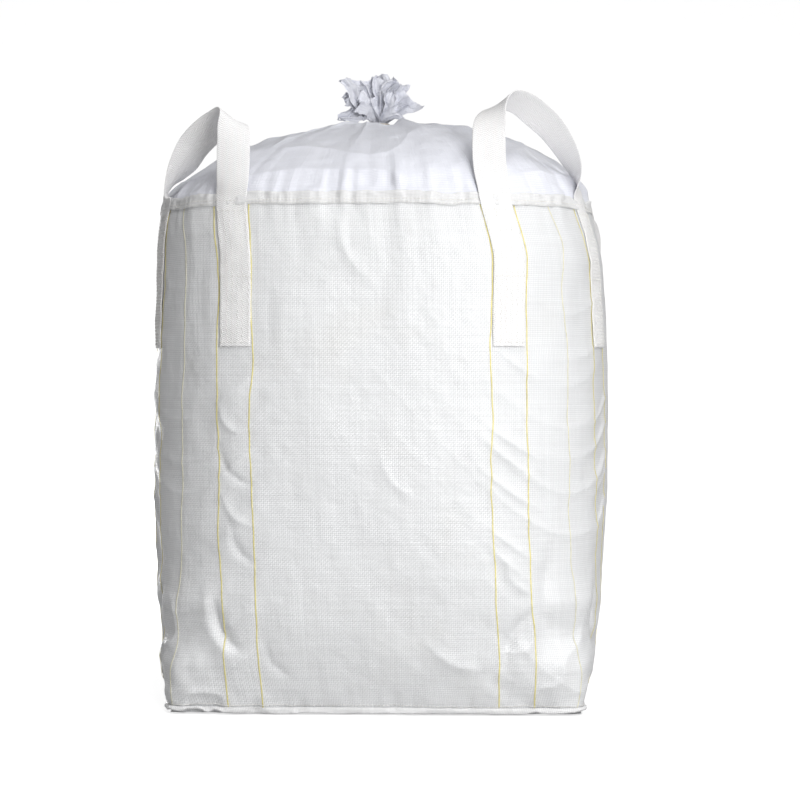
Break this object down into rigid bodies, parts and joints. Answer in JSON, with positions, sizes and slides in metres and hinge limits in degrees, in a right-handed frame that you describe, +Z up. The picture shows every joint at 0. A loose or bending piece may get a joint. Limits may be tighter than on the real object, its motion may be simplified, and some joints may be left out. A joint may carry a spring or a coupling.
{
  "type": "bulk bag",
  "caption": "Filled woven bulk bag with four cross-corner lifting loops, a square base and a top skirt gathered and tied at the neck.",
  "frame": {"origin": "centre of the flat base panel's underside, on the floor", "axes": "+Z up along the filled bag's height, its longest extent; -Y out of the front face, +X to the right as the front face is looked at"},
  "size_m": [1.0836, 1.057, 1.448],
  "materials": {
    "contents": "loose granules, hidden inside",
    "base_cloth": "coated woven polypropylene",
    "body_cloth": "coated woven polypropylene, slightly glossy",
    "seam_cloth": "folded and stitched woven polypropylene",
    "skirt_cloth": "thin woven polypropylene, slightly glossy",
    "webbing": "thick woven webbing, matt",
    "marker_yarn": "yellow tapes woven into the cloth",
    "tie_cord": "twisted cord"
  },
  "bodies": {
    "bag": {"bulk_contents": "contents", "base_panel": "base_cloth", "body_tube": "body_cloth", "base_seam": "seam_cloth", "top_skirt": "skirt_cloth", "rim_hem": "seam_cloth", "sewn_leg_front_a": "webbing", "sewn_leg_front_b": "webbing", "sewn_leg_right_a": "webbing", "sewn_leg_right_b": "webbing", "sewn_leg_rear_a": "webbing", "sewn_leg_rear_b": "webbing", "sewn_leg_left_a": "webbing", "sewn_leg_left_b": "webbing", "marker_yarn_front_a_inner": "marker_yarn", "marker_yarn_front_a_outer": "marker_yarn", "marker_yarn_front_b_inner": "marker_yarn", "marker_yarn_front_b_outer": "marker_yarn", "marker_yarn_right_a_inner": "marker_yarn", "marker_yarn_right_a_outer": "marker_yarn", "marker_yarn_right_b_inner": "marker_yarn", "marker_yarn_right_b_outer": "marker_yarn", "marker_yarn_rear_a_inner": "marker_yarn", "marker_yarn_rear_a_outer": "marker_yarn", "marker_yarn_rear_b_inner": "marker_yarn", "marker_yarn_rear_b_outer": "marker_yarn", "marker_yarn_left_a_inner": "marker_yarn", "marker_yarn_left_a_outer": "marker_yarn", "marker_yarn_left_b_inner": "marker_yarn", "marker_yarn_left_b_outer": "marker_yarn", "corner_yarn_front": "marker_yarn", "corner_yarn_right": "marker_yarn", "corner_yarn_rear": "marker_yarn", "corner_yarn_left": "marker_yarn", "neck_tie": "tie_cord"},
    "loop_front_left": {"loop_front_left": "webbing"},
    "loop_front_right": {"loop_front_right": "webbing"},
    "loop_rear_right": {"loop_rear_right": "webbing"},
    "loop_rear_left": {"loop_rear_left": "webbing"},
    "tuft": {"neck_tuft": "skirt_cloth"}
  },
  "joints": [
    {"name": "front_left_swing", "type": "hinge", "parent": "bag", "child": "loop_front_left", "pos_m": [-0.37742, -0.37742, 1.12], "axis": [0.7071, -0.7071, 0], "range_deg": [-5, 76]},
    {"name": "front_right_swing", "type": "hinge", "parent": "bag", "child": "loop_front_right", "pos_m": [0.37742, -0.37742, 1.12], "axis": [0.7071, 0.7071, 0], "range_deg": [-5, 94]},
    {"name": "rear_right_swing", "type": "hinge", "parent": "bag", "child": "loop_rear_right", "pos_m": [0.37742, 0.37742, 1.12], "axis": [-0.7071, 0.7071, 0], "range_deg": [-106, 0]},
    {"name": "rear_left_swing", "type": "hinge", "parent": "bag", "child": "loop_rear_left", "pos_m": [-0.37742, 0.37742, 1.12], "axis": [-0.7071, -0.7071, 0], "range_deg": [-107, 0]},
    {"name": "tuft_flop", "type": "hinge", "parent": "bag", "child": "tuft", "pos_m": [0, 0, 1.319], "axis": [0, 1, 0], "range_deg": [-11, 11]}
  ]
}
